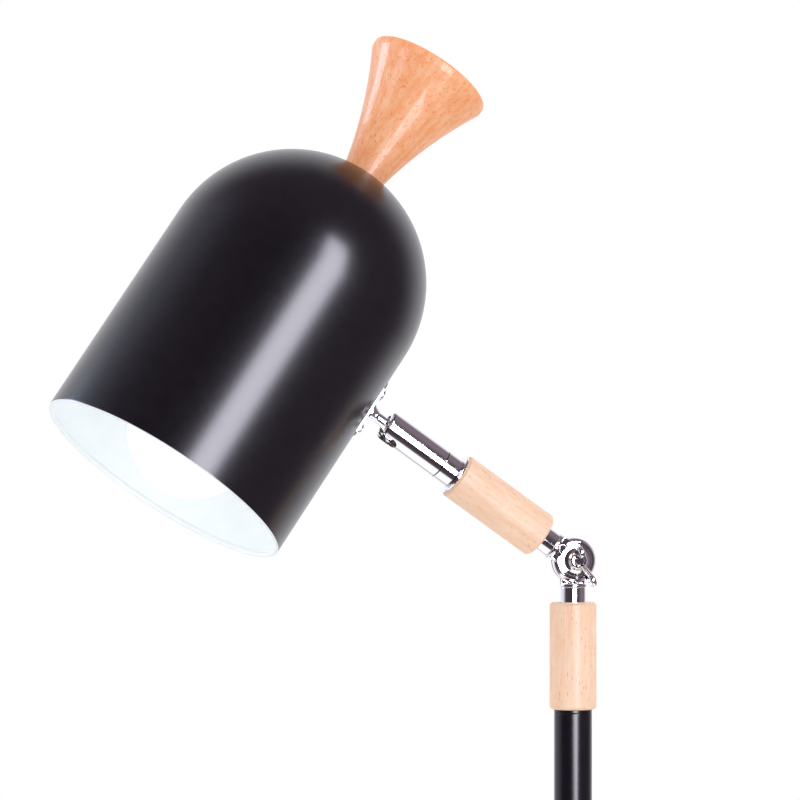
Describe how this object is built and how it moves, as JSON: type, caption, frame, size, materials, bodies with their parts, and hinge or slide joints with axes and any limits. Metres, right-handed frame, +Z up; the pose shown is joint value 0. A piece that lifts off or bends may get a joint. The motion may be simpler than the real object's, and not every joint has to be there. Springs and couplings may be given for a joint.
{
  "type": "floor lamp",
  "caption": "Floor lamp with a round base, tubular pole, tilting wood-sleeved arm with wing nut, slotted ball joint and domed shade with flared finial.",
  "frame": {"origin": "on the floor under the middle of the pole, at the underside of the base pad", "axes": "+Z up along the pole, -X the way the arm leans, -Y the side of the wing nut"},
  "size_m": [0.4369, 0.25, 1.5035],
  "materials": {
    "satin_black": "satin black stove enamel",
    "cast_iron": "rough cast",
    "rubber": "matt",
    "plain_steel": "zinc plated",
    "mirror_chrome": "polished chrome plate",
    "pale_wood": "pale beech, clear matt lacquer",
    "warm_wood": "orange brown wood, gloss lacquer",
    "fibre": "moulded fibre",
    "yellow_brass": "plain",
    "white_plastic": "gloss white",
    "white_ceramic": "glazed",
    "opal_globe": "opal white, lit",
    "nickel_cap": "nickel plated"
  },
  "bodies": {
    "stand": {"base_pad": "rubber", "base_weight": "cast_iron", "base_cover": "satin_black", "cable_grommet": "rubber", "base_nipple": "plain_steel", "base_washer": "plain_steel", "base_nut": "plain_steel", "foot_collar": "satin_black", "pole_foot_plug": "plain_steel", "pole_lower": "satin_black", "pole_middle": "satin_black", "pole_upper": "satin_black", "pole_studs": "plain_steel", "pole_sockets": "plain_steel", "pole_top_plug": "satin_black", "pole_sleeve": "pale_wood", "neck_tube": "mirror_chrome", "knuckle_lower": "mirror_chrome", "friction_washer": "fibre", "pivot_bolt": "mirror_chrome"},
    "arm": {"knuckle_upper": "mirror_chrome", "nut_washer": "mirror_chrome", "arm_tube": "mirror_chrome", "arm_sleeve": "pale_wood", "sleeve_end_ring": "mirror_chrome", "ferrule": "mirror_chrome"},
    "wing_nut": {"wing_nut": "mirror_chrome"},
    "joint_body": {"joint_body": "mirror_chrome", "swivel_plug": "plain_steel", "swivel_clip": "plain_steel", "disc_springs": "plain_steel", "ball_seat": "fibre"},
    "head": {"ball_stud": "mirror_chrome", "mount_plate": "mirror_chrome", "plate_screws": "mirror_chrome", "screw_washers": "plain_steel", "screw_nuts": "plain_steel", "stem_nut": "plain_steel", "shade": "satin_black", "finial": "warm_wood", "finial_insert": "yellow_brass", "holder_rod": "plain_steel", "rod_washer": "plain_steel", "rod_nut": "plain_steel", "holder_cap": "white_plastic", "holder_shell": "white_plastic", "holder_insulator": "white_ceramic", "holder_screw_shell": "yellow_brass", "holder_contact": "yellow_brass", "bulb_globe": "opal_globe", "bulb_body": "white_plastic", "bulb_cap": "nickel_cap", "bulb_contact": "yellow_brass"}
  },
  "joints": [
    {"name": "elbow_tilt", "type": "hinge", "parent": "stand", "child": "arm", "pos_m": [0, 0, 1.2], "axis": [0, 1, 0], "range_deg": [-50, 144]},
    {"name": "wing_nut_turn", "type": "hinge", "parent": "stand", "child": "wing_nut", "pos_m": [0, 0, 1.2], "axis": [0, -1, 0], "range_deg": [-180, 180]},
    {"name": "head_swivel", "type": "hinge", "parent": "arm", "child": "joint_body", "pos_m": [0, 0, 1.2], "axis": [-0.8181, 0, 0.575], "range_deg": [-170, 170]},
    {"name": "head_tilt", "type": "hinge", "parent": "joint_body", "child": "head", "pos_m": [-0.108, 0, 1.2759], "axis": [0.2339, -0.9135, 0.3328], "range_deg": [-14, 68]}
  ]
}
